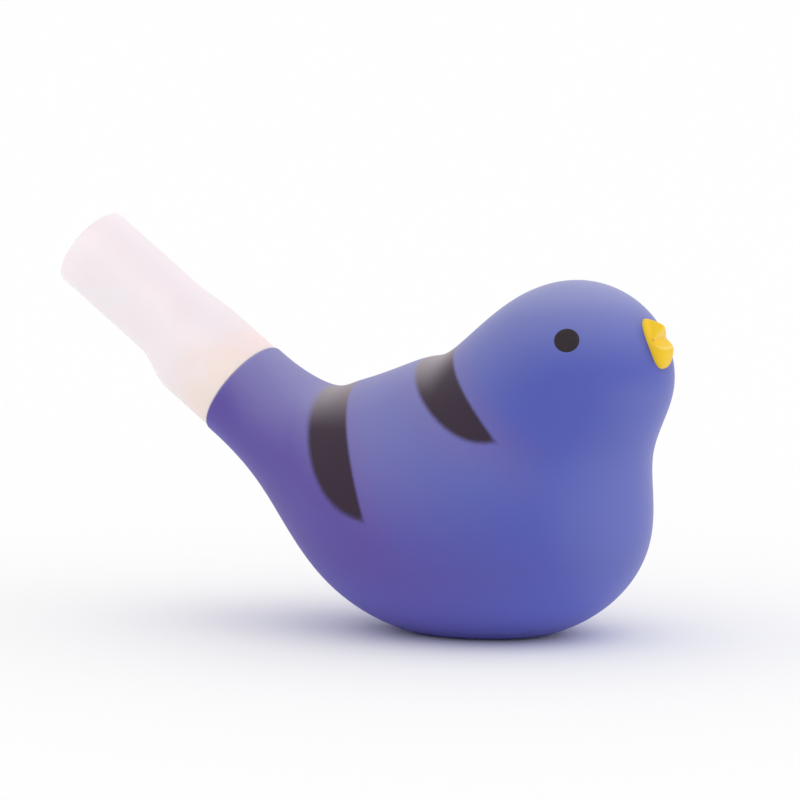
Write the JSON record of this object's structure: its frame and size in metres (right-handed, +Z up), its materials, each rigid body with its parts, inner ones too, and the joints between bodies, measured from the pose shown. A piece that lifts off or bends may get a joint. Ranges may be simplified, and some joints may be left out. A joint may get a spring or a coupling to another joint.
{
  "type": "bird whistle",
  "caption": "Hollow moulded bird that stands on its belly, with a pull-out tube whistle in its upturned tail; half filled with water, it warbles when blown.",
  "frame": {"origin": "middle of the flat on the belly that the bird stands on", "axes": "+X ahead, the way the bird looks; +Y to its left; +Z up"},
  "size_m": [0.1015, 0.041, 0.0592],
  "materials": {
    "blue_vinyl": "matte soft moulded vinyl in violet blue, with two dark stripes sprayed over the back",
    "yellow_vinyl": "satin moulded vinyl in warm yellow",
    "black_vinyl": "matte soft black",
    "milky_plastic": "milky see-through polyethylene with a satin skin"
  },
  "bodies": {
    "bird": {"body_shell": "blue_vinyl", "beak": "yellow_vinyl", "eye_left": "black_vinyl", "eye_right": "black_vinyl"},
    "whistle": {"mouthpiece": "milky_plastic", "fipple_block": "milky_plastic", "dip_tube": "milky_plastic"}
  },
  "joints": [
    {"name": "whistle_pull", "type": "slide", "parent": "bird", "child": "whistle", "axis": [-0.809, 0, 0.5878], "range_m": [0, 0.046]}
  ]
}
